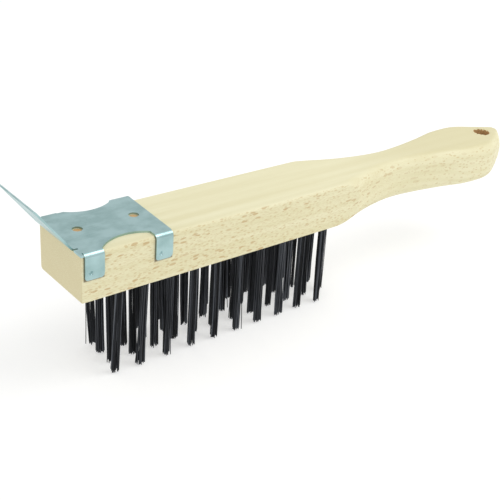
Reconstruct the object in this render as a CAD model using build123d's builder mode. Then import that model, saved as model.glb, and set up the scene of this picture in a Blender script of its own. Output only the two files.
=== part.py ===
from build123d import *
import math
import os

# Wire brush with a scraper: one beech board, shaped at the heel end into a handle, four rows
# of steel wire tufts held in blind holes by flat wire anchors, and a bent sheet-steel scraper
# clamped over the toe.
# Frame: +X from the toe to the heel, +Y across the board, +Z up. The brush stands on its wire
# tips at Z = 0, with the origin at the middle of its footprint. Millimetres.

# ---- driving dimensions: the wooden board, measured from its toe
BOARD_LENGTH = 289.4
BOARD_WIDTH = 36.2
BOARD_THICK = 22.3
ARRIS = 0.4                 # light rounding on the long edges of the block
ARRIS_UNDER_TABS = 1.5      # the upper near edge is eased more, for the tabs to bend over it
ARRIS_UNDER_FAR = 1.8       # and the lower far edge was left rounder than the rest
TOE_EDGE_RADIUS = 0.6
END_WASTE = 12.0            # length of the blanks beyond the finished ends
ROUND_OVER_TOP = 5.5        # round-over along the upper edge of the handle
ROUND_OVER_UNDER = 5.6      # round-over along the lower edge of the handle
HANG_HOLE_RADIUS = 4.5
HANG_HOLE_FROM_TOE = 273.4
HANG_HOLE_OFFSET = -1.0     # the hole was drilled a little off the centre line
BLANK_HALF_WIDTH = 26.0     # the shaper's path before it meets the board
SHAPER_START = 120.0        # where that path begins, still beside the block
# half-widths of the handle where the shaper's path needs a point: distance from the toe, half-width
SHOULDER_POINTS = [(150.0, 20.7), (165.0, 15.4), (180.0, 11.7)]
WAIST_POINT = (195.0, 9.9)
FLARE_POINTS = [(211.0, 11.0), (236.0, 15.3)]
BULGE_POINT = (259.0, 18.0)
HEEL_POINT = (276.5, 11.9)
NOSE_FROM_TOE = 291.4       # the shaped nose runs a little past the board's length
NOSE_RADIUS = 5.8
NOSE_TURN = 58.0            # degrees of the nose's arc on each side of the centre line
# the nose is then sanded back to the board's length, domed in plan and in height
DOME_PLAN_RADIUS = 8.5
DOME_RADIUS = 22.0
DOME_CENTRE_Z = 10.0        # above the underside of the board

# ---- driving dimensions: the wire tufts
WIRE_STANDOUT = 44.5        # from the underside of the board to the tips
TUFT_RADIUS = 1.95
TUFT_TIP_RADIUS = 2.0       # the wires spread a little towards their tips
HOLE_CLEARANCE = 0.05
HOLE_DEPTH = 12.0
ROW_OFFSETS = [-13.35, -4.45, 4.45, 13.35]
OUTER_ROW = (10, 20.8, 13.2)    # count, distance of the first tuft from the toe, pitch
INNER_ROW = (12, 21.3, 11.65)
LEAN = 1.1                  # every tuft is swept towards the heel by this much at its tip
NEAR_SPLAY = 3.2            # but the near row is worn and splays the other way at the toe
SPLAY_FADES_AT = 66.0       # distance from the toe where that splay has died away

# ---- driving dimensions: the flat wire anchors that hold the folded tufts
ANCHOR_THICK = 0.4
ANCHOR_HEIGHT = 1.8
ANCHOR_WIDTH = 5.6
FOLD_ABOVE_ANCHOR = 1.2     # wire bundle above the anchor, where the wires turn back
FOLD_RADIUS = 1.1

# ---- driving dimensions: the scraper, from one sheet
SHEET = 0.9
BEND_INNER = 1.4
SCRAPER_AXIS_Y = 3.4        # the pressing sits a little to the far side of the board
PLATE_FRONT = 0.4           # distance from the toe where the blade's bend begins
PLATE_REAR_NEAR = 44.8      # the sheet was sheared a little askew
PLATE_REAR_FAR = 46.8
LIP_FRONT = -0.6            # the plate's front lip beside the blade
LIP_DEPTH = 1.3             # its near end stands free of the tab, over the corner of the board
RELIEF_WIDTH = 0.9          # slots that let the blade bend clear of the corners
RELIEF_DEPTH = 1.2
NEAR_FRONT_TAB = (1.3, 10.5)    # where each tab starts and ends, from the toe
FAR_FRONT_TAB = (3.1, 10.0)
NEAR_REAR_TAB = (35.9, 44.5)
FAR_REAR_TAB = (37.4, 46.6)
TAB_DROP = 11.6             # from the top of the board to the toes of the tabs
TAB_CORNER = 1.6
FAR_BEND_START = 21.1       # the far tabs bend outside the board and lean back in against it
FAR_TAB_LEAN = 25.5
BLADE_WIDTH = 31.0
BLADE_LENGTH = 26.5
BLADE_RISE = 52.0           # degrees above the board
BLADE_EDGE = 0.45           # bevel ground on the blade's edge: depth, then length
BLADE_EDGE_LENGTH = 1.6
WAIST_CUT_RADIUS = 19.4     # the round cut in each side of the plate, between its tabs
WAIST_CUT_HALF_GAP = 13.6   # from the pressing's axis to the bottom of that cut
WAIST_CUT_CENTRE = 25.0
NAIL_HOLE_RADIUS = 2.35
NAIL_HOLES = [10.2, 38.3]
STAKE_RADIUS = 1.0          # each tab is punched into the wood once
STAKE_POINT_RADIUS = 0.3
STAKE_DEPTH = 1.8           # of the point, from the tab's outer face
STAKE_WALL = 0.45           # metal left around the punch mark
STAKE_DENT = 0.75           # depth of the mark that the punch leaves outside
STAKE_ABOVE_TOE = 3.2
STAKE_TOWARDS_TOE = 1.7     # from the middle of the tab

# ---- derived sizes
blade_rise = math.radians(BLADE_RISE)
bend_outer = BEND_INNER + SHEET
board_under = WIRE_STANDOUT
board_top = WIRE_STANDOUT + BOARD_THICK
blade_reach = bend_outer * math.sin(blade_rise) + BLADE_LENGTH * math.cos(blade_rise)
toe_x = (blade_reach - PLATE_FRONT - BOARD_LENGTH) / 2
half_width = BOARD_WIDTH / 2
near_bend_start = half_width - BEND_INNER
near_outer = half_width + SHEET
centre_y = (near_outer - FAR_BEND_START - bend_outer) / 2
toe_of_tabs = board_top - TAB_DROP
near_leg = TAB_DROP - BEND_INNER
far_lean = math.radians(FAR_TAB_LEAN)
far_leg = (near_leg - BEND_INNER * math.sin(far_lean)) / math.cos(far_lean)
blade_near = SCRAPER_AXIS_Y - BLADE_WIDTH / 2
blade_far = SCRAPER_AXIS_Y + BLADE_WIDTH / 2
relief_length = PLATE_FRONT - LIP_FRONT + RELIEF_DEPTH
anchor_z = board_under + HOLE_DEPTH - FOLD_ABOVE_ANCHOR - ANCHOR_HEIGHT / 2
# where the punch marks fall on the outer faces of the tabs, and the ways they point
near_stake_point = (centre_y - near_outer, toe_of_tabs + STAKE_ABOVE_TOE)
near_inward = (0, 1, 0)
far_bend_end_y = centre_y + FAR_BEND_START + bend_outer * math.cos(far_lean)
far_bend_end_z = board_top - BEND_INNER - bend_outer * math.sin(far_lean)
stake_run = far_leg - STAKE_ABOVE_TOE
far_stake_point = (far_bend_end_y - stake_run * math.sin(far_lean),
                   far_bend_end_z - stake_run * math.cos(far_lean))
far_inward = (0, -math.cos(far_lean), math.sin(far_lean))

os.makedirs("parts", exist_ok=True)


def along(distance):
    """X of a point at this distance from the toe."""
    return toe_x + distance


def across(offset):
    """Y of a point at this offset from the board's centre line."""
    return centre_y + offset


def bent_strip(bend_start, turn, leg, away=1, down=True):
    """Section of sheet that leaves the plate, turns through an angle and runs on as a leg.

    bend_start is where the bend begins on the face that touches the board, away is the side the
    sheet runs to, and the sheet turns down over the board or up off it.
    """
    x0, y0 = bend_start
    rise = -1 if down else 1
    centre_y_local = y0 - BEND_INNER if down else y0 + SHEET + BEND_INNER
    turn_rad = math.radians(turn)

    def rim(radius, angle):
        return (x0 + away * radius * math.sin(angle), centre_y_local - rise * radius * math.cos(angle))

    def leg_end(point):
        return (point[0] + away * leg * math.cos(turn_rad), point[1] + rise * leg * math.sin(turn_rad))

    with BuildSketch() as strip:
        with BuildLine():
            outer = ThreePointArc(*[rim(bend_outer, turn_rad * part) for part in (0, 0.5, 1)])
            inner = ThreePointArc(*[rim(BEND_INNER, turn_rad * part) for part in (1, 0.5, 0)])
            outer_end = rim(bend_outer, turn_rad)
            inner_end = rim(BEND_INNER, turn_rad)
            Polyline(outer_end, leg_end(outer_end), leg_end(inner_end), inner_end)
            Line(inner @ 1, outer @ 0)
        make_face()
    return strip.sketch_local


def cut_between_tabs(centre_offset, front_tab, rear_tab):
    """Round waist cut in one side of the plate, squared off beside the tabs."""
    gap_start = front_tab[1]
    gap = rear_tab[0] - gap_start
    with BuildSketch(Plane.XY.offset(board_top)) as cut:
        with Locations((along(WAIST_CUT_CENTRE), across(centre_offset))):
            Circle(WAIST_CUT_RADIUS)
        with Locations((along(gap_start), across(centre_offset))):
            Rectangle(
                gap, 2 * WAIST_CUT_RADIUS, align=(Align.MIN, Align.CENTER), mode=Mode.INTERSECT
            )
    extrude(cut.sketch, amount=SHEET, mode=Mode.SUBTRACT)


def punch(plane):
    """Punch mark that drives a little cone of the tab into the wood."""
    low = (Align.CENTER, Align.CENTER, Align.MIN)
    with Locations(plane):
        Cone(STAKE_RADIUS + STAKE_WALL, STAKE_POINT_RADIUS, STAKE_DEPTH, align=low)
        Cone(STAKE_RADIUS, STAKE_POINT_RADIUS, STAKE_DENT, align=low, mode=Mode.SUBTRACT)


def make_tabs(strip, front_tab, rear_tab, stake_point, inward):
    """Both tabs of one side, cut to length, rounded at the toe and punched into the wood."""
    with BuildPart() as tabs:
        with BuildSketch(Plane.YZ.offset(along(front_tab[0]))):
            add(strip)
        extrude(amount=rear_tab[1] - front_tab[0])
        with BuildSketch(Plane.XZ):
            for start, end in (front_tab, rear_tab):
                with Locations((along(start), toe_of_tabs)):
                    Rectangle(end - start, TAB_DROP + SHEET, align=(Align.MIN, Align.MIN))
            fillet(vertices().group_by(Axis.Y)[0], TAB_CORNER)
        extrude(amount=BOARD_WIDTH, both=True, mode=Mode.INTERSECT)
        for start, end in (front_tab, rear_tab):
            stake_x = along((start + end) / 2 - STAKE_TOWARDS_TOE)
            punch(Plane((stake_x, *stake_point), x_dir=(1, 0, 0), z_dir=inward))
    return tabs.part


def row_positions(row):
    """Distance from the toe and offset from the centre line of each hole in a row."""
    outer = row in (0, len(ROW_OFFSETS) - 1)
    count, first, pitch = OUTER_ROW if outer else INNER_ROW
    return [(first + pitch * index, ROW_OFFSETS[row]) for index in range(count)]


def lean_at(row, distance):
    """How far a tuft's tip is swept towards the heel, in this row at this distance from the toe."""
    if row > 0:
        return LEAN
    fade = (SPLAY_FADES_AT - distance) / (SPLAY_FADES_AT - OUTER_ROW[1])
    return LEAN - NEAR_SPLAY * max(0.0, fade)


def make_tuft(distance, offset, lean):
    """One bundle of wires: folded round its anchor in the hole, spreading towards the tips."""
    x, y = along(distance), across(offset)
    with BuildPart() as tuft:
        with BuildSketch(Plane((x, y, board_under))):
            Circle(TUFT_RADIUS)
        extrude(amount=HOLE_DEPTH - HOLE_CLEARANCE)
        fillet(tuft.edges().group_by(Axis.Z)[-1], FOLD_RADIUS)
        with BuildSketch(Plane((x, y, board_under))):
            Circle(TUFT_RADIUS)
        with BuildSketch(Plane((x + lean, y, 0))):
            Circle(TUFT_TIP_RADIUS)
        loft(ruled=True)
        with Locations((x, y, anchor_z)):
            Box(ANCHOR_THICK, ANCHOR_WIDTH, ANCHOR_HEIGHT, mode=Mode.SUBTRACT)
    return tuft.part


# ---- tabs: the near ones lie flat on the board, the far ones lean in and bite it
near_strip = bent_strip((across(-near_bend_start), board_top), 90, near_leg, away=-1)
near_tabs = make_tabs(near_strip, NEAR_FRONT_TAB, NEAR_REAR_TAB, near_stake_point, near_inward)
far_strip = bent_strip((across(FAR_BEND_START), board_top), 90 + FAR_TAB_LEAN, far_leg)
far_tabs = make_tabs(far_strip, FAR_FRONT_TAB, FAR_REAR_TAB, far_stake_point, far_inward)

# ---- scraper: plate waisted between its tabs, with the blade bent up at the toe
with BuildPart() as scraper:
    with BuildSketch(Plane.XY.offset(board_top)):
        Polygon(
            (along(PLATE_FRONT), across(-near_bend_start)),
            (along(PLATE_REAR_NEAR), across(-near_bend_start)),
            (along(PLATE_REAR_FAR), across(FAR_BEND_START)),
            (along(PLATE_FRONT), across(FAR_BEND_START)),
            align=None,
        )
        for low, high in ((-near_outer, blade_near - RELIEF_WIDTH),
                          (blade_far + RELIEF_WIDTH, FAR_BEND_START)):
            with Locations((along(LIP_FRONT), across(low))):
                Rectangle(LIP_DEPTH, high - low, align=(Align.MIN, Align.MIN))
    extrude(amount=SHEET)
    near_cut = SCRAPER_AXIS_Y - WAIST_CUT_HALF_GAP - WAIST_CUT_RADIUS
    far_cut = SCRAPER_AXIS_Y + WAIST_CUT_HALF_GAP + WAIST_CUT_RADIUS
    cut_between_tabs(near_cut, NEAR_FRONT_TAB, NEAR_REAR_TAB)
    cut_between_tabs(far_cut, FAR_FRONT_TAB, FAR_REAR_TAB)
    with BuildSketch(Plane.XY.offset(board_top)):
        for side in (blade_near, blade_far + RELIEF_WIDTH):
            with Locations((along(LIP_FRONT), across(side))):
                Rectangle(relief_length, RELIEF_WIDTH, align=(Align.MIN, Align.MAX))
    extrude(amount=SHEET, mode=Mode.SUBTRACT)
    with BuildSketch(Plane.XZ.offset(-across(blade_far))):
        blade_start = (along(PLATE_FRONT), board_top)
        add(bent_strip(blade_start, BLADE_RISE, BLADE_LENGTH, away=-1, down=False))
    extrude(amount=BLADE_WIDTH)
    chamfer(scraper.edges().filter_by(Axis.Y).group_by(Axis.Z)[-1], BLADE_EDGE, BLADE_EDGE_LENGTH)
    add(near_tabs)
    add(far_tabs)
    with BuildSketch(Plane.XY.offset(board_top)):
        with Locations(*[(along(distance), across(SCRAPER_AXIS_Y)) for distance in NAIL_HOLES]):
            Circle(NAIL_HOLE_RADIUS)
    extrude(amount=SHEET, mode=Mode.SUBTRACT)
scraper.part.label = "scraper"
export_step(scraper.part, "parts/scraper.step")

# ---- anchors: one flat wire driven across each hole, row by row
anchor_rows = []
for row in range(len(ROW_OFFSETS)):
    with BuildPart() as anchors:
        points = [(along(d), across(o), anchor_z) for d, o in row_positions(row)]
        with Locations(*points):
            Box(ANCHOR_THICK, ANCHOR_WIDTH, ANCHOR_HEIGHT)
    anchors.part.label = f"anchors_row{row + 1}"
    export_step(anchors.part, f"parts/{anchors.part.label}.step")
    anchor_rows.append(anchors.part)

# ---- tufts: each bundle of wires is its own node
for row in range(len(ROW_OFFSETS)):
    for index, (distance, offset) in enumerate(row_positions(row)):
        tuft = make_tuft(distance, offset, lean_at(row, distance))
        tuft.label = f"tuft_row{row + 1}_{index + 1:02d}"
        export_step(tuft, f"parts/{tuft.label}.step")

# ---- board: the planed beech blank with its edges lightly rounded
with BuildPart() as board:
    with BuildSketch(Plane.XY.offset(board_under)):
        with Locations((toe_x, across(0))):
            Rectangle(BOARD_LENGTH + END_WASTE, BOARD_WIDTH, align=(Align.MIN, Align.CENTER))
    extrude(amount=BOARD_THICK)
    upper_near = board.edges().filter_by(Axis.X).group_by(Axis.Z)[-1].sort_by(Axis.Y)[0]
    lower_far = board.edges().filter_by(Axis.X).group_by(Axis.Z)[0].sort_by(Axis.Y)[-1]
    other_long_edges = board.edges().filter_by(Axis.X) - [upper_near, lower_far]
    fillet(upper_near, ARRIS_UNDER_TABS)
    fillet(lower_far, ARRIS_UNDER_FAR)
    fillet(other_long_edges, ARRIS)
    fillet(board.faces().sort_by(Axis.X)[0].edges(), TOE_EDGE_RADIUS)

# ---- shaper: the solid left inside the shaper's path, rounded over above and below
with BuildPart() as shaper:
    with BuildSketch(Plane.XY.offset(board_under)):
        with BuildLine():
            bulge = (along(BULGE_POINT[0]), across(BULGE_POINT[1]))
            start = (along(SHAPER_START), across(BLANK_HALF_WIDTH))
            side_points = [start]
            for distance, half in [*SHOULDER_POINTS, WAIST_POINT, *FLARE_POINTS]:
                side_points.append((along(distance), across(half)))
            side_points.append(bulge)
            side = Spline(*side_points, tangents=((1, 0), (1, 0)))
            heel = (along(HEEL_POINT[0]), across(HEEL_POINT[1]))
            nose_centre = (along(NOSE_FROM_TOE - NOSE_RADIUS), across(0))
            nose = CenterArc(nose_centre, NOSE_RADIUS, 0, NOSE_TURN)
            Spline(bulge, heel, nose @ 1, tangents=((1, 0), -(nose % 1)))
            toe_corner = (along(-END_WASTE), across(BLANK_HALF_WIDTH))
            Polyline((along(-END_WASTE), across(0)), toe_corner, start)
            mirror(about=Plane.XZ.offset(-across(0)))
        make_face()
    extrude(amount=BOARD_THICK)
    fillet(shaper.faces().sort_by(Axis.Z)[-1].edges(), ROUND_OVER_TOP)
    fillet(shaper.faces().sort_by(Axis.Z)[0].edges(), ROUND_OVER_UNDER)

# ---- dome: what the sanding leaves of the nose, with a straight blank behind it
with BuildPart() as dome:
    dome_axis_x = along(BOARD_LENGTH - DOME_PLAN_RADIUS)
    with BuildSketch(Plane.XZ.offset(-across(0))):
        with Locations((along(BOARD_LENGTH - DOME_RADIUS), board_under + DOME_CENTRE_Z)):
            Circle(DOME_RADIUS)
        with Locations((dome_axis_x, board_under + DOME_CENTRE_Z)):
            Rectangle(
                BOARD_WIDTH, 2 * BOARD_THICK, align=(Align.MIN, Align.CENTER), mode=Mode.INTERSECT
            )
    revolve(axis=Axis((dome_axis_x, across(0), 0), (0, 0, 1)))
    with Locations((dome_axis_x, across(0), board_under)):
        back = (Align.MAX, Align.CENTER, Align.CENTER)
        Box(BOARD_LENGTH, 2 * BOARD_WIDTH, 3 * BOARD_THICK, align=back)

# ---- handle: block and grip in one piece, drilled for the tufts and the hanging hook
with BuildPart() as handle:
    add(board.part)
    add(shaper.part, mode=Mode.INTERSECT)
    add(dome.part, mode=Mode.INTERSECT)
    with BuildSketch(Plane.XY.offset(board_under)):
        with Locations((along(HANG_HOLE_FROM_TOE), across(HANG_HOLE_OFFSET))):
            Circle(HANG_HOLE_RADIUS)
    extrude(amount=BOARD_THICK, mode=Mode.SUBTRACT)
    with BuildSketch(Plane.XY.offset(board_under)):
        for row in range(len(ROW_OFFSETS)):
            with Locations(*[(along(d), across(o)) for d, o in row_positions(row)]):
                Circle(TUFT_RADIUS + HOLE_CLEARANCE)
    extrude(amount=HOLE_DEPTH, mode=Mode.SUBTRACT)
    for anchor_row in anchor_rows:
        add(anchor_row, mode=Mode.SUBTRACT)
    add(scraper.part, mode=Mode.SUBTRACT)
handle.part.label = "handle"
export_step(handle.part, "parts/handle.step")

print("toe at", round(toe_x, 3), "centre line at", round(centre_y, 3), "top at", board_top)
print("hang hole at", round(along(HANG_HOLE_FROM_TOE), 3), round(across(HANG_HOLE_OFFSET), 3))
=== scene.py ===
"""Wire brush with a scraper: a beech board, a zinc-plated pressing and 44 tufts of steel wire.

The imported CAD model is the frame. The board, the pressing and each tuft are modelled here at full
detail and stand for their CAD nodes, and the hidden anchors are dressed as they are. Lengths in
the classes are millimetres, which mm() turns into the scene's metres.
"""

import logging
import math
import random
from dataclasses import dataclass, field
from enum import Enum
from typing import Any, Callable

import bpy
import numpy as np
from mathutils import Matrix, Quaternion, Vector


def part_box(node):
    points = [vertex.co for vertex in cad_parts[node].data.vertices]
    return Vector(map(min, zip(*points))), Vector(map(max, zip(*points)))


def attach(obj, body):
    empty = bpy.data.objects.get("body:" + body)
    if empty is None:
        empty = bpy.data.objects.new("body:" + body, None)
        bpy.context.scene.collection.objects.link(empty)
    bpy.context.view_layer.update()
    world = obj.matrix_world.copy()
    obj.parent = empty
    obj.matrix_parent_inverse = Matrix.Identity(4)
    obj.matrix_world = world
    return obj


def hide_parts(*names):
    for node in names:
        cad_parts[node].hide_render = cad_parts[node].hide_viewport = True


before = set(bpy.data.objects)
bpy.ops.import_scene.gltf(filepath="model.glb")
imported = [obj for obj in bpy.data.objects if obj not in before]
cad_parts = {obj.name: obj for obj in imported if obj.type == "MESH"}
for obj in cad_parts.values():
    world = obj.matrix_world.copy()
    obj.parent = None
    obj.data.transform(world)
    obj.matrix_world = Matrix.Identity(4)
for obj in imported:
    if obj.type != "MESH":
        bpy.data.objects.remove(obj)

LOG = logging.getLogger("wire_brush")
ROOT = "root"

Socket = bpy.types.NodeSocket


class Slot(Enum):
    """The record's material slots."""

    BEECH = "beech"
    SHEET = "zinc_plated_sheet"
    WIRE = "brush_wire"
    ANCHOR = "anchor_wire"


# ---- lengths and colours


def mm(length: float) -> float:
    """Millimetres in metres."""
    return length * 0.001


def linear(hex_colour: str) -> tuple[float, float, float, float]:
    """Turn an sRGB colour into the linear one that shaders take.

    Args:
        hex_colour: Six hex digits, such as "EDE3BE".

    Returns:
        Linear red, green, blue and an alpha of 1.
    """
    channels = [int(hex_colour[i : i + 2], 16) / 255 for i in (0, 2, 4)]
    straight = [c / 12.92 if c <= 0.04045 else ((c + 0.055) / 1.055) ** 2.4 for c in channels]
    return (*straight, 1.0)


# ---- selecting and editing


def select_only(*pieces: bpy.types.Object) -> None:
    """Select these pieces and nothing else, the first of them active.

    Args:
        pieces: The objects that the next operator acts on.
    """
    if bpy.context.object is not None and bpy.context.object.mode != "OBJECT":
        bpy.ops.object.mode_set(mode="OBJECT")
    bpy.ops.object.select_all(action="DESELECT")
    for piece in pieces:
        piece.select_set(True)
    bpy.context.view_layer.objects.active = pieces[0]


def pick_faces(piece: bpy.types.Object, wanted: Callable[[Vector, Vector], bool]) -> None:
    """Select faces of the active piece by place and normal, and go to face mode.

    Args:
        piece: The active object.
        wanted: Told a face's centre and normal, says whether the face is picked.
    """
    bpy.ops.object.mode_set(mode="EDIT")
    bpy.ops.mesh.select_mode(type="FACE")
    bpy.ops.mesh.select_all(action="DESELECT")
    bpy.ops.object.mode_set(mode="OBJECT")
    for polygon in piece.data.polygons:
        polygon.select = wanted(polygon.center, polygon.normal)
    bpy.ops.object.mode_set(mode="EDIT")


def apply_modifier(piece: bpy.types.Object, kind: str, **settings: Any) -> None:
    """Add a modifier to a piece and apply it at once.

    Args:
        piece: The object to change.
        kind: Blender's name for the modifier type.
        settings: The modifier's properties.
    """
    select_only(piece)
    modifier = piece.modifiers.new(kind.title(), kind)
    for name, value in settings.items():
        setattr(modifier, name, value)
    bpy.ops.object.modifier_apply(modifier=modifier.name)


def smooth(piece: bpy.types.Object, angle: float) -> None:
    """Shade a piece smooth across edges flatter than this many degrees."""
    select_only(piece)
    bpy.ops.object.shade_smooth_by_angle(angle=math.radians(angle))


def copy_of_node(node: str, name: str) -> bpy.types.Object:
    """Copy a CAD node into a new piece, with its loose triangles merged into one skin.

    Args:
        node: The CAD node's name.
        name: The new piece's name.

    Returns:
        The new piece, selected and active.
    """
    piece = bpy.data.objects.new(name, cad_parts[node].data.copy())
    bpy.context.scene.collection.objects.link(piece)
    piece.data.materials.clear()
    select_only(piece)
    bpy.ops.mesh.customdata_custom_splitnormals_clear()
    bpy.ops.object.mode_set(mode="EDIT")
    bpy.ops.mesh.select_all(action="SELECT")
    bpy.ops.mesh.remove_doubles(threshold=mm(0.0005))
    bpy.ops.mesh.dissolve_limited(angle_limit=math.radians(0.3))
    bpy.ops.object.mode_set(mode="OBJECT")
    return piece


def stand_for(piece: bpy.types.Object, slot: Slot, *nodes: str) -> None:
    """Have a finished piece ride on the brush in place of its CAD nodes.

    Args:
        piece: The finished piece.
        slot: The material slot it belongs to; not used.
        nodes: The CAD nodes that it stands for.
    """
    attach(piece, ROOT)
    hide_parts(*nodes)
    LOG.info("%s: %d faces for %s", piece.name, len(piece.data.polygons), ", ".join(nodes))


# ---- shader building


@dataclass
class Graph:
    """A material in the making: its node tree, to which nodes are added one at a time."""

    MODES = {
        "Math": "operation",
        "VectorMath": "operation",
        "MapRange": "interpolation_type",
        "Mix": "data_type",
        "Attribute": "attribute_name",
    }
    name: str

    def __post_init__(self) -> None:
        """Make the empty material."""
        self.material = bpy.data.materials.new(self.name)
        self.material.use_nodes = True
        self.tree = self.material.node_tree
        self.tree.nodes.clear()

    def add(
        self, kind: str, *values: Any, out: str = "", settings: dict | None = None, **named: Any
    ) -> Socket | None:
        """Add a node with its settings, values and links.

        Args:
            kind: The node's type without "ShaderNode", and its mode after a colon if it has one.
            values: Numbers, hex colours or sockets for its inputs in order.
            out: The output that is wanted, if it is not the first.
            settings: The node's other properties.
            named: The same for inputs by name, with "_" for a space.

        Returns:
            The node's output socket, or None if it has none.
        """
        kind, _, mode = kind.partition(":")
        node = self.tree.nodes.new("ShaderNode" + kind)
        if mode:
            setattr(node, self.MODES[kind], mode)
        for name, value in (settings or {}).items():
            setattr(node, name, value)
        pairs = list(zip([socket for socket in node.inputs if socket.enabled], values))
        pairs += [(node.inputs[name.replace("_", " ")], value) for name, value in named.items()]
        for socket, value in pairs:
            if isinstance(value, Socket):
                self.tree.links.new(value, socket)
            else:
                socket.default_value = linear(value) if isinstance(value, str) else value
        shown = [socket for socket in node.outputs if socket.enabled]
        return node.outputs[out] if out else next(iter(shown), None)

    def finish(self, **surface: Any) -> bpy.types.Material:
        """Put a Principled shader on the output.

        Args:
            surface: Values or sockets for its inputs by name, with "_" for a space.

        Returns:
            The finished material.
        """
        self.add("OutputMaterial", Surface=self.add("BsdfPrincipled", **surface))
        return self.material

    def in_cells(self, origin: Vector, cell: tuple) -> Socket:
        """Object coordinates from an origin, counted in cells of a real size.

        Args:
            origin: The pattern's origin, in metres.
            cell: The size of one cell along X, Y and Z, in millimetres.

        Returns:
            The socket that carries the coordinates.
        """
        place = self.add("TexCoord", out="Object")
        scale = Vector([1 / mm(size) for size in cell])
        shift = Vector([-origin[i] * scale[i] for i in range(3)])
        return self.add("Mapping", Vector=place, Location=shift, Scale=scale)

    def grain(self, origin: Vector, cell: tuple, detail: float = 2.0) -> Socket:
        """Random grain from 0 to 1 whose cells have a real size.

        Args:
            origin: The pattern's origin, in metres.
            cell: The size of a cell along X, Y and Z, in millimetres.
            detail: How many finer layers are added.

        Returns:
            The socket that carries the grain.
        """
        place = self.in_cells(origin, cell)
        return self.add("TexNoise", Vector=place, Scale=1.0, Detail=detail, out="Fac")

    def product(self, *factors: Any) -> Socket:
        """Multiply sockets and numbers together.

        Args:
            factors: At least two of them, the first a socket.

        Returns:
            The socket that carries the product.
        """
        total = factors[0]
        for factor in factors[1:]:
            total = self.add("Math:MULTIPLY", total, factor)
        return total


# ---- finishes


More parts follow.
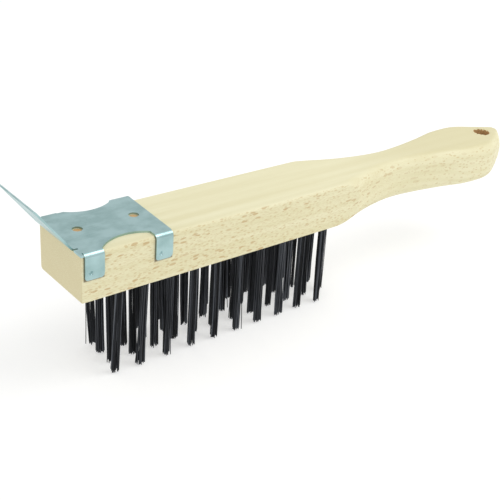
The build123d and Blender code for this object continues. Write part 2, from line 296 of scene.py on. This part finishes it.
@dataclass(frozen=True)
class Beech:
    """Steamed beech, planed and sanded, left bare.

    Sanding leaves it matt and silky. The eye sees a pale cream ground, soft bands of growth along
    the grain and, on the sides, short brown flecks where the rays are cut across.
    """

    ground: str = "E7E2BF"
    band: str = "DCD5AC"
    end_grain: str = "D8CCA2"
    fleck: str = "B8935C"
    fine_fleck: str = "C6AE79"
    # browner tone in the hang hole, and painted shade on the wood under the scraper's nail holes
    hole_brown_and_shade: str = "BF935A"
    # painted shade: the grip's top is darkened where the light falls off along it
    grip_top_shade: str = "D0C79B"
    # painted shadow on the side round the near tabs
    tab_shadow: str = "5B472F"

    # each cell is the real size of a pattern along X, Y and Z
    ring_width: float = 3.4
    ring_cell: tuple = (14.0, 1.0, 1.0)
    pith: tuple = (0.0, 34.0, -58.0)
    band_cell: tuple = (120.0, 7.0, 7.0)
    fleck_cell: tuple = (6.6, 30.0, 1.9)
    fine_fleck_cell: tuple = (2.4, 14.0, 1.0)
    cluster_cell: tuple = (26.0, 40.0, 9.0)
    drift_cell: tuple = (18.0, 18.0, 6.0)
    mottle_cell: tuple = (1.8, 0.4, 0.4)
    # beech vessels are 0.06 mm wide, so these two are drawn coarser for them to show at all
    fibre_cell: tuple = (5.0, 0.22, 0.22)
    pore_cell: tuple = (0.5, 0.5, 0.5)

    # how far a face must turn each way before it shows that cut of the wood
    side_facing: tuple = (0.35, 0.85)
    end_facing: tuple = (0.45, 0.9)
    top_facing: tuple = (0.8, 0.97)
    near_facing: tuple = (-0.2, -0.6)
    grip: tuple = (145.0, 225.0)

    fleck_share: float = 0.6
    fleck_size: tuple = (0.2, 0.46)
    fleck_drift: float = 1.6
    flecks_lost_on_grip: float = 0.75
    fleck_strength: float = 0.6
    fine_fleck_strength: float = 0.5
    mottle_strength: float = 0.4
    grip_top_shade_strength: float = 0.55
    tab_shadow_strength: float = 0.8
    ring_strength: float = 0.32
    band_strength: float = 0.5
    fibre_strength: float = 0.22
    roughness: tuple = (0.52, 0.68)
    bump_strength: float = 0.32
    bump_height: float = 0.08

    def rings(self, graph: Graph, origin: Vector) -> Socket:
        """Growth rings round a pith outside the board, wandering a little along it.

        Args:
            graph: The material in the making.
            origin: The toe end of the board's underside.

        Returns:
            A socket from 0 between the rings to 1 on their dark late wood.
        """
        centre = origin + Vector([mm(offset) for offset in self.pith])
        place = graph.in_cells(centre, self.ring_cell)
        # a ring wave repeats every 0.1 pi of its own unit
        pitch = 0.1 * math.pi / self.ring_width
        rings = {"wave_type": "RINGS", "rings_direction": "X"}
        wander = {"Distortion": 5.0, "Detail": 2.0, "Detail_Scale": 0.35}
        return graph.add(
            "TexWave", Vector=place, Scale=pitch, **wander, settings=rings, out="Fac"
        )

    def flecks(self, graph: Graph, origin: Vector, cell: tuple) -> Socket:
        """Rays cut across: short lens shapes along the grain.

        Args:
            graph: The material in the making.
            origin: The toe end of the board's underside.
            cell: The room that each ray has along X, Y and Z, in millimetres.

        Returns:
            A socket that is 1 inside a fleck.
        """
        drift = graph.product(graph.grain(origin, self.drift_cell), self.fleck_drift)
        rise = graph.add("CombineXYZ", Z=drift)
        place = graph.add("VectorMath:ADD", graph.in_cells(origin, cell), rise)
        reach = graph.add("TexVoronoi", Vector=place, Scale=1.0, out="Distance")
        chance = graph.add("SeparateColor", Color=reach.node.outputs["Color"], out="Green")
        smallest, largest = self.fleck_size
        size = graph.add("MapRange", Value=chance, To_Min=smallest, To_Max=largest)
        inside = graph.add(
            "MapRange:SMOOTHSTEP", graph.add("Math:SUBTRACT", size, reach), 0.0, 0.09
        )
        absent = 1 - self.fleck_share
        luck = chance.node.outputs["Red"]
        present = graph.add("MapRange:SMOOTHSTEP", luck, absent, absent + 0.02)
        return graph.product(inside, present)

    def hole_tint_and_shade(self, graph: Graph, holes: list[tuple[Vector, float]]) -> Socket:
        """Brown inside and just round each upright hole: painted shade on the wood seen through the
        scraper's nail holes, and a browner tone in the hang hole.

        Args:
            graph: The material in the making.
            holes: Each hole's axis and radius, in metres.

        Returns:
            A socket that is 1 inside the holes.
        """
        place = graph.add("TexCoord", out="Object")
        flat = graph.add("VectorMath:MULTIPLY", place, (1.0, 1.0, 0.0))
        total = 0.0
        for axis, radius in holes:
            reach = graph.add("VectorMath:DISTANCE", flat, (axis.x, axis.y, 0.0))
            rim = (radius + mm(0.35), radius + mm(0.05))
            inside = graph.add("MapRange:SMOOTHSTEP", reach, *rim)
            total = graph.add("Math:MAXIMUM", total, inside)
        return total

    def pressed(self, graph: Graph, tabs: list[tuple[float, float, float]]) -> Socket:
        """Painted shadow: a dark line on the side, round and under each near tab, where the tab
        shades the wood.

        Args:
            graph: The material in the making.
            tabs: Each tab's start and end along X and the height of its toe, in metres.

        Returns:
            A socket that is 1 under the tabs and just round them.
        """
        along = graph.add("SeparateXYZ", graph.add("TexCoord", out="Object"), out="X")
        height = along.node.outputs["Z"]
        total = 0.0
        for start, end, toe in tabs:
            offset = graph.add("Math:SUBTRACT", along, (start + end) / 2)
            reach = graph.add("Math:ABSOLUTE", offset)
            half = (end - start) / 2
            beside = graph.add("MapRange:SMOOTHSTEP", reach, half + mm(0.55), half + mm(0.1))
            above = graph.add("MapRange:SMOOTHSTEP", height, toe - mm(0.9), toe - mm(0.3))
            total = graph.add("Math:MAXIMUM", total, graph.product(beside, above))
        return total

    def build(self, origin: Vector, holes: list, tabs: list) -> bpy.types.Material:
        """Make the material.

        Args:
            origin: The toe end of the board's underside, in metres.
            holes: The upright holes that show, each an axis and a radius in metres.
            tabs: The near tabs, round which a shadow is painted, each its start and end along X and
                its toe's height, in metres.

        Returns:
            The material.
        """
        graph = Graph("Beech_sanded_bare")
        soft = "MapRange:SMOOTHSTEP"
        normal_x = graph.add("SeparateXYZ", graph.add("NewGeometry", out="Normal"), out="X")
        normal_y, normal_z = [normal_x.node.outputs[axis] for axis in "YZ"]
        on_side = graph.add(soft, graph.add("Math:ABSOLUTE", normal_y), *self.side_facing)
        on_end = graph.add(soft, graph.add("Math:ABSOLUTE", normal_x), *self.end_facing)
        on_top = graph.add(soft, normal_z, *self.top_facing)
        on_near = graph.add(soft, normal_y, *self.near_facing)
        along = graph.add("SeparateXYZ", graph.add("TexCoord", out="Object"), out="X")
        on_grip = graph.add(soft, along, *[origin.x + mm(end) for end in self.grip])
        lost = graph.product(on_grip, self.flecks_lost_on_grip)
        off_grip = graph.add("Math:SUBTRACT", 1.0, lost)

        fibre = graph.grain(origin, self.fibre_cell, 3.0)
        broad = graph.add(soft, graph.grain(origin, self.band_cell, 3.0), 0.35, 0.7)
        rings = graph.product(self.rings(graph, origin), self.ring_strength)
        bands = graph.product(broad, self.band_strength)
        lines = graph.product(graph.add(soft, fibre, 0.35, 0.75), self.fibre_strength)
        tone = graph.add("Math:ADD", graph.add("Math:ADD", rings, bands), lines)
        colour = graph.add("Mix:RGBA", tone, self.ground, self.band)

        speckle = graph.add(soft, graph.grain(origin, self.mottle_cell, 3.0), 0.45, 0.7)
        mottle = graph.product(speckle, on_side, off_grip, self.mottle_strength)
        colour = graph.add("Mix:RGBA", mottle, colour, self.fine_fleck)
        # painted shade: the top faces of the grip are darkened where the light falls off
        grip_top_shade = graph.product(on_top, on_grip, self.grip_top_shade_strength)
        colour = graph.add("Mix:RGBA", grip_top_shade, colour, self.grip_top_shade)
        fine = graph.product(self.flecks(graph, origin, self.fine_fleck_cell), on_side)
        fine = graph.product(fine, self.fine_fleck_strength)
        colour = graph.add("Mix:RGBA", fine, colour, self.fine_fleck)
        clusters = graph.add(soft, graph.grain(origin, self.cluster_cell), 0.36, 0.54)
        rays = self.flecks(graph, origin, self.fleck_cell)
        rays = graph.product(rays, on_side, clusters, off_grip)
        colour = graph.add(
            "Mix:RGBA", graph.product(rays, self.fleck_strength), colour, self.fleck
        )

        pores = graph.grain(origin, self.pore_cell)
        ends = graph.add("Math:ADD", graph.add(soft, pores, 0.3, 0.7), 0.35)
        ends = graph.add("Math:MINIMUM", graph.product(on_end, ends), 1.0)
        colour = graph.add("Mix:RGBA", ends, colour, self.end_grain)
        # browner inside the hang hole, painted shade where the scraper's nail holes show the wood
        hole_tone = graph.product(self.hole_tint_and_shade(graph, holes), graph.add("Math:ADD", fibre, 0.35))
        colour = graph.add("Mix:RGBA", graph.add("Math:MINIMUM", hole_tone, 1.0), colour, self.hole_brown_and_shade)
        # painted shadow: the wood beside and under each near tab is darkened where the tab shades
        # it
        tab_shadow = graph.product(self.pressed(graph, tabs), on_near, self.tab_shadow_strength)
        colour = graph.add("Mix:RGBA", tab_shadow, colour, self.tab_shadow)

        height = graph.add("Math:ADD", fibre, graph.product(rays, -0.8))
        height = graph.add("Math:ADD", height, graph.product(pores, 0.4))
        relief = {"Strength": self.bump_strength, "Distance": mm(self.bump_height)}
        smoothest, roughest = self.roughness
        return graph.finish(
            Base_Color=colour,
            Roughness=graph.add("MapRange", Value=fibre, To_Min=smoothest, To_Max=roughest),
            Normal=graph.add("Bump", **relief, Height=height),
        )


@dataclass(frozen=True)
class ZincPlatedSheet:
    """Cold-rolled steel sheet, pressed, then barrel-plated with zinc and blue-passivated.

    The plating keeps the faint rolling lines of the sheet and clouds over in places, so it looks
    cool grey-blue and half matt, with bright lines where it turns over a bend.
    """

    plating: str = "ACC9CA"
    cloud: str = "9AB8B8"
    bloom: str = "BAD4D6"
    dull: str = "6F8284"
    rolling_cell: tuple = (24.0, 0.35, 24.0)
    cloud_cell: tuple = (9.0, 7.0, 9.0)
    speckle_cell: tuple = (0.55, 0.55, 0.55)
    bloom_strength: float = 0.35
    dull_strength: float = 0.45
    roughness: float = 0.2
    cloud_roughness: float = 0.22
    line_roughness: float = 0.12
    bump_strength: float = 0.18
    bump_height: float = 0.05

    def build(self, origin: Vector) -> bpy.types.Material:
        """Make the material.

        Args:
            origin: Where the patterns start, in metres.

        Returns:
            The material.
        """
        graph = Graph("Zinc_plated_steel_sheet")
        soft = "MapRange:SMOOTHSTEP"
        lines = graph.grain(origin, self.rolling_cell)
        clouds = graph.grain(origin, self.cloud_cell, 4.0)
        speckle = graph.add(soft, graph.grain(origin, self.speckle_cell, 1.0), 0.66, 0.78)
        clouded = graph.add(soft, clouds, 0.35, 0.65)
        colour = graph.add("Mix:RGBA", clouded, self.plating, self.cloud)
        bloom = graph.product(graph.add(soft, lines, 0.5, 0.75), self.bloom_strength)
        colour = graph.add("Mix:RGBA", bloom, colour, self.bloom)
        dull = graph.product(speckle, graph.add(soft, clouds, 0.5, 0.62), self.dull_strength)
        colour = graph.add("Mix:RGBA", dull, colour, self.dull)
        rough = graph.product(clouds, self.cloud_roughness)
        rough = graph.add("Math:ADD", rough, graph.product(lines, self.line_roughness))
        height = graph.add("Math:ADD", lines, graph.product(clouds, 0.6))
        relief = {"Strength": self.bump_strength, "Distance": mm(self.bump_height)}
        return graph.finish(
            Metallic=1.0,
            Base_Color=colour,
            Roughness=graph.add("Math:ADD", rough, self.roughness),
            Normal=graph.add("Bump", **relief, Height=height),
        )


@dataclass(frozen=True)
class TemperedWire:
    """High-carbon steel wire, drawn and oil-tempered.

    Its oxide skin is nearly black with a blue-grey shine, and each wire in a bundle is a slightly
    different tone.
    """

    dark: str = "1C1D1F"
    light: str = "686C73"
    drawing_cell: tuple = (0.3, 0.3, 14.0)
    metallic: float = 0.85
    roughness: tuple = (0.3, 0.5)

    def build(self, origin: Vector) -> bpy.types.Material:
        """Make the material, which reads each wire's tone from the mesh.

        Args:
            origin: Where the drawing marks start, in metres.

        Returns:
            The material.
        """
        graph = Graph("Oil_tempered_steel_wire")
        tone = graph.add("Attribute:" + Tufts.TONE, out="Fac")
        marks = graph.grain(origin, self.drawing_cell)
        lit = graph.product(tone, graph.add("Math:ADD", marks, 0.4))
        lit = graph.add("Math:MINIMUM", lit, 1.0)
        smoothest, roughest = self.roughness
        return graph.finish(
            Metallic=self.metallic,
            Base_Color=graph.add("Mix:RGBA", lit, self.dark, self.light),
            Roughness=graph.add("MapRange", Value=marks, To_Min=smoothest, To_Max=roughest),
        )


@dataclass(frozen=True)
class DrawnStrip:
    """Flat steel wire, bright drawn. It is grey and evenly shiny, with marks along its length."""

    steel: str = "8F9194"
    scored: str = "6E7073"
    drawing_cell: tuple = (0.2, 6.0, 0.2)
    roughness: float = 0.34

    def build(self, origin: Vector) -> bpy.types.Material:
        """Make the material.

        Args:
            origin: Where the drawing marks start, in metres.

        Returns:
            The material.
        """
        graph = Graph("Bright_drawn_steel_strip")
        marks = graph.grain(origin, self.drawing_cell)
        colour = graph.add("Mix:RGBA", marks, self.steel, self.scored)
        return graph.finish(Metallic=1.0, Roughness=self.roughness, Base_Color=colour)


@dataclass(frozen=True)
class LitAcrylic:
    """Opal acrylic sheet, sand-blasted matt and lit a little from below, as a shooting table is.

    It looks plain white, and a shadow on it stays faint.
    """

    white: str = "C6C6C5"
    tooth: str = "C2C2C1"
    light_below: str = "FFFFFF"
    glow: float = 0.5
    roughness: float = 0.95
    specular: float = 0.1
    tooth_cell: tuple = (2.0, 2.0, 2.0)

    def build(self) -> bpy.types.Material:
        """Make the material of the table top.

        Returns:
            The material.
        """
        graph = Graph("Opal_acrylic_lit_from_below")
        tooth = graph.grain(Vector(), self.tooth_cell)
        return graph.finish(
            Base_Color=graph.add("Mix:RGBA", tooth, self.white, self.tooth),
            Roughness=self.roughness,
            Specular_IOR_Level=self.specular,
            Emission_Color=self.light_below,
            Emission_Strength=self.glow,
        )


# ---- the brush


@dataclass
class Board:
    """The beech board, with torn grain round the rim of its hang hole."""

    hang_hole_radius: float = 4.5
    hang_hole_from_toe: float = 273.4
    hang_hole_offset: float = -1.0
    nail_hole_radius: float = 2.35
    nail_holes: tuple = ((10.2, 3.4), (38.3, 3.4))
    near_tabs: tuple = ((1.3, 10.5), (35.9, 44.5))
    tab_drop: float = 11.6
    chips: int = 13
    chip_length: tuple = (0.7, 1.7)
    chip_width: tuple = (0.25, 0.6)
    chip_depth: tuple = (0.25, 0.8)
    chip_raggedness: float = 0.45
    chip_spacing_error: float = 0.3
    chip_reach: tuple = (-0.15, 0.3)
    nail_hole_shade_share: float = 0.8
    smooth_angle: float = 32
    seed: int = 11
    finish: Beech = field(default_factory=Beech)

    def __post_init__(self) -> None:
        """Take the board's place from the frame."""
        self.low, self.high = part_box("handle")
        self.centre_y = (self.low.y + self.high.y) / 2

    def point(self, from_toe: float, offset: float) -> Vector:
        """A point on top of the board.

        Args:
            from_toe: Distance from the toe, in millimetres.
            offset: Distance across from the centre line, in millimetres.

        Returns:
            The point, in metres.
        """
        return Vector((self.low.x + mm(from_toe), self.centre_y + mm(offset), self.high.z))

    @property
    def hang_hole(self) -> Vector:
        """Where the hang hole opens on top."""
        return self.point(self.hang_hole_from_toe, self.hang_hole_offset)

    def make_chips(self) -> bpy.types.Object:
        """Model the splinters that the drill tore out of the hang hole's rim.

        Returns:
            All of them as one object, to be cut from the board.
        """
        dice = random.Random(self.seed)
        made = []
        for index in range(self.chips):
            error = dice.uniform(-self.chip_spacing_error, self.chip_spacing_error)
            turn = math.tau * (index + error) / self.chips
            reach = mm(self.hang_hole_radius + dice.uniform(*self.chip_reach))
            rim = self.hang_hole + Vector((math.cos(turn), math.sin(turn), 0)) * reach
            ranges = (self.chip_length, self.chip_width, self.chip_depth)
            size = [mm(dice.uniform(*limits)) for limits in ranges]
            bpy.ops.object.select_all(action="DESELECT")
            bpy.ops.mesh.primitive_ico_sphere_add(
                subdivisions=2, radius=1, location=rim, scale=size
            )
            chip = bpy.context.object
            bpy.ops.object.transform_apply(location=True, rotation=True, scale=True)
            bpy.ops.object.mode_set(mode="EDIT")
            bpy.ops.mesh.select_all(action="SELECT")
            bpy.ops.transform.vertex_random(offset=min(size) * self.chip_raggedness, seed=index + 1)
            bpy.ops.object.mode_set(mode="OBJECT")
            made.append(chip)
        select_only(*made)
        bpy.ops.object.join()
        return bpy.context.object

    def build(self) -> bpy.types.Object:
        """Model the board and dress it.

        Returns:
            The finished board.
        """
        board = copy_of_node("handle", "board")
        chips = self.make_chips()
        settings = {"operation": "DIFFERENCE", "object": chips, "solver": "EXACT", "use_self": True}
        apply_modifier(board, "BOOLEAN", **settings)
        bpy.data.objects.remove(chips)
        smooth(board, self.smooth_angle)
        apply_modifier(board, "WEIGHTED_NORMAL", keep_sharp=True)
        holes = [(self.hang_hole, mm(self.hang_hole_radius))]
        # painted shade on the wood seen through the scraper's nail holes
        for place in self.nail_holes:
            holes.append((self.point(*place), mm(self.nail_hole_radius) * self.nail_hole_shade_share))
        origin = Vector((self.low.x, self.centre_y, self.low.z))
        toe = self.high.z - mm(self.tab_drop)
        tabs = [(origin.x + mm(start), origin.x + mm(end), toe) for start, end in self.near_tabs]
        board.data.materials.append(self.finish.build(origin, holes, tabs))
        stand_for(board, Slot.BEECH, "handle")
        return board


@dataclass
class Scraper:
    """The zinc-plated pressing, its edges broken and the toes of its near tabs set inwards."""

    edge_break: float = 0.09
    toe_set: float = 2.7
    toe_angle: float = 7.0
    near_margin: float = 0.3
    sharp_angle: float = 50
    smooth_angle: float = 40
    tab_drop: float = 11.6
    finish: ZincPlatedSheet = field(default_factory=ZincPlatedSheet)

    def set_toes(self, piece: bpy.types.Object) -> None:
        """Crease each near tab above its toe, and lean the toe into the wood.

        Args:
            piece: The pressing.
        """
        board_low, board_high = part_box("handle")
        crease = board_high.z - mm(self.tab_drop - self.toe_set)
        side = board_low.y
        select_only(piece)
        near = side + mm(self.near_margin)
        pick_faces(piece, lambda centre, normal: centre.y < near and centre.z < board_high.z)
        bpy.ops.mesh.bisect(plane_co=(0, side, crease), plane_no=(0, 0, 1))
        bpy.ops.object.mode_set(mode="OBJECT")
        slope = math.tan(math.radians(self.toe_angle))
        for vertex in piece.data.vertices:
            if vertex.co.y < near and vertex.co.z < crease:
                vertex.co.y += (crease - vertex.co.z) * slope

    def build(self) -> bpy.types.Object:
        """Model the pressing and dress it.

        Returns:
            The finished pressing.
        """
        pressing = copy_of_node("scraper", "scraper_pressing")
        self.set_toes(pressing)
        settings = {"width": mm(self.edge_break), "segments": 2, "limit_method": "ANGLE"}
        settings["angle_limit"] = math.radians(self.sharp_angle)
        apply_modifier(pressing, "BEVEL", **settings)
        smooth(pressing, self.smooth_angle)
        apply_modifier(pressing, "WEIGHTED_NORMAL", keep_sharp=True)
        pressing.data.materials.append(self.finish.build(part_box("scraper")[0]))
        stand_for(pressing, Slot.SHEET, "scraper")
        return pressing


@dataclass
class Tufts:
    """All the tufts: each is 22 wires folded in half at a flat anchor in a blind hole."""

    TONE = "wire_tone"
    wire_radius: float = 0.2
    wire_sides: int = 5
    pitch: float = 0.43
    leg_steps: int = 6
    fold_steps: int = 4
    leg_spacing: float = 0.9
    bundle_radius: float = 1.9
    anchor_half: float = 0.25
    anchor_above_mouth: float = 10.0
    tip_spread: float = 0.1
    clump_spread: float = 0.3
    bow: float = 0.16
    cut_spread: float = 0.8
    cut_range: tuple = (0.1, 0.8)
    longest_cut: float = 2.4
    tuft_sway: float = 0.25
    clump_counts: tuple = (3, 4, 5)
    seat_error: float = 0.05
    stray_share: float = 0.05
    stray_reach: float = 1.5
    smooth_angle: float = 75
    seed: int = 5
    finish: TemperedWire = field(default_factory=TemperedWire)

    def __post_init__(self) -> None:
        """Take the heights from the frame."""
        self.mouth_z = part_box("handle")[0].z
        self.anchor_z = self.mouth_z + mm(self.anchor_above_mouth)

    def model_wire(self) -> bpy.types.Object:
        """Model one wire: a round section spun half a turn, with a leg drawn down from each end.

        Returns:
            The wire, with its tips at Z = 0. Its fold turns below anchor_z, not over it.
        """
        bpy.ops.object.select_all(action="DESELECT")
        half = mm(self.leg_spacing) / 2
        bpy.ops.mesh.primitive_circle_add(
            vertices=self.wire_sides, radius=mm(self.wire_radius), fill_type="NGON",
            location=(half, 0, self.anchor_z),
        )
        wire = bpy.context.object
        bpy.ops.object.transform_apply(location=True)
        bpy.ops.object.mode_set(mode="EDIT")
        bpy.ops.mesh.select_all(action="SELECT")
        turn = {"steps": self.fold_steps, "angle": math.pi, "axis": (0, -1, 0)}
        bpy.ops.mesh.spin(center=(0, 0, self.anchor_z), **turn)
        in_hole = (0, 0, self.mouth_z - self.anchor_z)
        down = (0, 0, -self.mouth_z / (self.leg_steps - 1))
        for side in (-half, half):
            bpy.ops.object.mode_set(mode="OBJECT")
            pick_faces(wire, lambda c, n: abs(c.x - side) < half / 4 and abs(n.z) > 0.9)
            for stride in [in_hole, *[down] * (self.leg_steps - 1)]:
                bpy.ops.mesh.extrude_region_move(TRANSFORM_OT_translate={"value": stride})
        bpy.ops.mesh.select_all(action="SELECT")
        bpy.ops.mesh.remove_doubles(threshold=mm(0.01))
        bpy.ops.mesh.normals_make_consistent(inside=False)
        bpy.ops.object.mode_set(mode="OBJECT")
        return wire

    def places(self) -> list[tuple[float, float]]:
        """Where the wires sit on one side of the anchor, closely packed.

        Returns:
            Offsets from the hole's axis, in metres.
        """
        found = []
        rows = int(self.bundle_radius / self.pitch) + 1
        for row in range(-rows, rows + 1):
            for column in range(2 * rows):
                x = self.anchor_half + self.wire_radius + column * self.pitch * math.sqrt(0.75)
                y = (row + 0.5 * (column % 2)) * self.pitch
                if math.hypot(x, y) < self.bundle_radius - self.wire_radius:
                    found.append((mm(x), mm(y)))
        return found

    def bend(
        self, rest: np.ndarray, legs: list, lean: Vector, clumps: list, dice: random.Random
    ) -> np.ndarray:
        """Place one wire in its tuft and bend it as use has.

        Args:
            rest: The modelled wire's points.
            legs: The two legs' offsets from the hole's axis, in metres.
            lean: How far the tuft's tip stands from its hole.
            clumps: How far each clump of tips has moved, as offsets in metres.
            dice: The tuft's random numbers.

        Returns:
            The bent wire's points, about the tuft's axis.
        """
        half = mm(self.leg_spacing) / 2
        points = rest.copy()
        for sign, (leg_x, leg_y) in zip((1, -1), legs):
            mine = (rest[:, 0] * sign > 0) & (rest[:, 2] < self.anchor_z - mm(0.01))
            free = np.clip((self.mouth_z - rest[mine, 2]) / self.mouth_z, 0, 1)
            cut = mm(abs(dice.gauss(0.0, self.cut_spread)) + dice.uniform(*self.cut_range))
            cut = min(cut, mm(self.longest_cut))
            points[mine, 2] += free * cut
            turn = math.atan2(leg_y, leg_x) / math.tau + 0.5
            clump = clumps[int(turn * len(clumps)) % len(clumps)]
            drift = [mm(dice.gauss(0, self.tip_spread)) for _ in range(2)]
            bow = [mm(dice.gauss(0, self.bow)) for _ in range(2)]
            if dice.random() < self.stray_share:
                drift = [d + mm(dice.uniform(-1, 1) * self.stray_reach) for d in drift]
            for axis, leg in ((0, leg_x), (1, leg_y)):
                shape = free * lean[axis] + free**2 * (drift[axis] + clump[axis])
                shape = shape + np.sin(math.pi * free) * bow[axis]
                centre = sign * half if axis == 0 else 0.0
                points[mine, axis] += leg - centre + shape
        fold = rest[:, 2] >= self.anchor_z - mm(0.01)
        share = np.clip(rest[fold, 0] / half / 2 + 0.5, 0, 1)
        points[fold, 0] += share * legs[0][0] + (1 - share) * legs[1][0] - (2 * share - 1) * half
        points[fold, 1] += share * legs[0][1] + (1 - share) * legs[1][1]
        return points

    def build_tuft(
        self, node: str, wire: bpy.types.Object, rest: np.ndarray, index: int
    ) -> bpy.types.Object:
        """Model one tuft from copies of the wire, each with its own mesh.

        Args:
            node: The CAD node that the tuft stands for.
            wire: The modelled wire.
            rest: The wire's points.
            index: The tuft's number, which seeds its random numbers.

        Returns:
            The finished tuft.
        """
        dice = random.Random(self.seed * 1000 + index)
        solid = np.array([v.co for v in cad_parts[node].data.vertices])
        tip = solid[solid[:, 2] < mm(0.05)].mean(0)
        mouth = solid[np.abs(solid[:, 2] - self.mouth_z) < mm(0.05)].mean(0)
        sway = [mm(dice.gauss(0, self.tuft_sway)) for _ in range(2)]
        lean = Vector((tip[0] - mouth[0] + sway[0], tip[1] - mouth[1] + sway[1], 0))
        clumps = []
        for _ in range(dice.choice(self.clump_counts)):
            clumps.append([mm(dice.gauss(0, self.clump_spread)) for _ in range(2)])
        copies = []
        for leg_x, leg_y in self.places():
            legs = []
            for sign in (1, -1):
                shift = [mm(dice.uniform(-self.seat_error, self.seat_error)) for _ in range(2)]
                legs.append((sign * leg_x + shift[0], leg_y + shift[1]))
            points = self.bend(rest, legs, lean, clumps, dice)
            points[:, :2] += mouth[:2]
            copy = bpy.data.objects.new("wire", wire.data.copy())
            bpy.context.scene.collection.objects.link(copy)
            copy.data.vertices.foreach_set("co", points.astype(np.float32).ravel())
            tone = copy.data.attributes.new(self.TONE, "FLOAT", "POINT")
            shade = dice.random() ** 2
            tone.data.foreach_set("value", np.full(len(points), shade, np.float32))
            copies.append(copy)
        select_only(*copies)
        bpy.ops.object.join()
        tuft = bpy.context.object
        tuft.name = node.replace("tuft", "wires")
        tuft.data.name = tuft.name
        smooth(tuft, self.smooth_angle)
        return tuft

    def build(self) -> list[bpy.types.Object]:
        """Model every tuft and dress it.

        Returns:
            The finished tufts.
        """
        wire = self.model_wire()
        rest = np.array([v.co for v in wire.data.vertices])
        material = self.finish.build(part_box("handle")[0])
        tufts = []
        names = sorted(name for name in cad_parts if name.startswith("tuft_"))
        for index, node in enumerate(names):
            tuft = self.build_tuft(node, wire, rest, index)
            tuft.data.materials.append(material)
            stand_for(tuft, Slot.WIRE, node)
            tufts.append(tuft)
        bpy.data.objects.remove(wire)
        return tufts


@dataclass
class Anchors:
    """The flat wires across the holes, sealed in the wood."""

    finish: DrawnStrip = field(default_factory=DrawnStrip)

    def dress(self) -> None:
        """Give the CAD's anchors their finish."""
        material = self.finish.build(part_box("handle")[0])
        for name in sorted(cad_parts):
            if name.startswith("anchors_"):
                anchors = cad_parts[name]
                anchors.data.materials.clear()
                anchors.data.materials.append(material)
                LOG.info("%s dressed", name)


# ---- the studio


@dataclass
class Studio:
    """Opal table top, one soft key light and an even white surround."""

    azimuth: float = -40.49
    elevation: float = 27.49
    roll: float = 4.62
    camera_from_toe: tuple = (-165.9, -316.8, 206.0)
    lens: float = 68.0
    sensor: float = 36.0
    floor_size: float = 9.0
    key_from: tuple = (0.38, -0.32, 0.80)
    key_size: float = 0.55
    key_distance: float = 0.95
    key_power: float = 3.0
    surround: float = 0.84
    table: LitAcrylic = field(default_factory=LitAcrylic)

    def __post_init__(self) -> None:
        """Find the middle of the brush and the toe end of the board's underside."""
        low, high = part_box("handle")
        self.toe = Vector((low.x, (low.y + high.y) / 2, low.z))
        self.middle = Vector((0, 0, low.z))

    def build_floor(self) -> None:
        """Lay the table top under the wire tips."""
        bpy.ops.object.select_all(action="DESELECT")
        bpy.ops.mesh.primitive_plane_add(size=self.floor_size, location=(0, 0, -mm(0.2)))
        floor = bpy.context.object
        floor.name = "table_top"
        floor.data.materials.append(self.table.build())

    def add_softbox(
        self, name: str, direction: tuple, distance: float, size: float, power: float
    ) -> None:
        """Hang a square softbox that faces the brush.

        Args:
            name: The light's name.
            direction: The way from the brush to the light.
            distance: How far off it hangs, in metres.
            size: The length of its side, in metres.
            power: Its power, in watts.
        """
        data = bpy.data.lights.new(name, "AREA")
        data.size = size
        data.energy = power
        light = bpy.data.objects.new(name, data)
        bpy.context.scene.collection.objects.link(light)
        away = Vector(direction).normalized()
        light.location = self.middle + away * distance
        light.rotation_mode = "QUATERNION"
        light.rotation_quaternion = (-away).to_track_quat("-Z", "Y")

    def build_lights(self) -> None:
        """Hang the lights and set the surround."""
        self.add_softbox(
            "key_softbox", self.key_from, self.key_distance, self.key_size, self.key_power
        )
        world = bpy.data.worlds.new("white_surround")
        world.use_nodes = True
        background = world.node_tree.nodes["Background"]
        background.inputs["Color"].default_value = (1.0, 1.0, 1.0, 1.0)
        background.inputs["Strength"].default_value = self.surround
        bpy.context.scene.world = world

    def build_camera(self) -> None:
        """Set the camera up by its own azimuth, elevation and roll."""
        data = bpy.data.cameras.new("camera")
        data.lens = self.lens
        data.sensor_width = self.sensor
        data.clip_start = 0.01
        data.clip_end = 20.0
        camera = bpy.data.objects.new("camera", data)
        bpy.context.scene.collection.objects.link(camera)
        turn, rise = math.radians(self.azimuth), math.radians(self.elevation)
        flat = math.cos(rise)
        back = Vector((math.sin(turn) * flat, -math.cos(turn) * flat, math.sin(rise)))
        camera.location = self.toe + Vector([mm(offset) for offset in self.camera_from_toe])
        camera.rotation_mode = "QUATERNION"
        roll = Quaternion((0, 0, 1), math.radians(self.roll))
        camera.rotation_quaternion = (-back).to_track_quat("-Z", "Y") @ roll
        bpy.context.scene.camera = camera

    def build(self) -> None:
        """Set the studio up."""
        self.build_floor()
        self.build_lights()
        self.build_camera()
        bpy.context.scene.view_settings.view_transform = "Standard"


def main() -> None:
    """Build the brush, then the studio."""
    logging.basicConfig(level=logging.INFO, format="%(name)s: %(message)s")
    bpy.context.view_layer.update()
    Board().build()
    Scraper().build()
    Tufts().build()
    Anchors().dress()
    Studio().build()


if __name__ == "__main__":
    main()
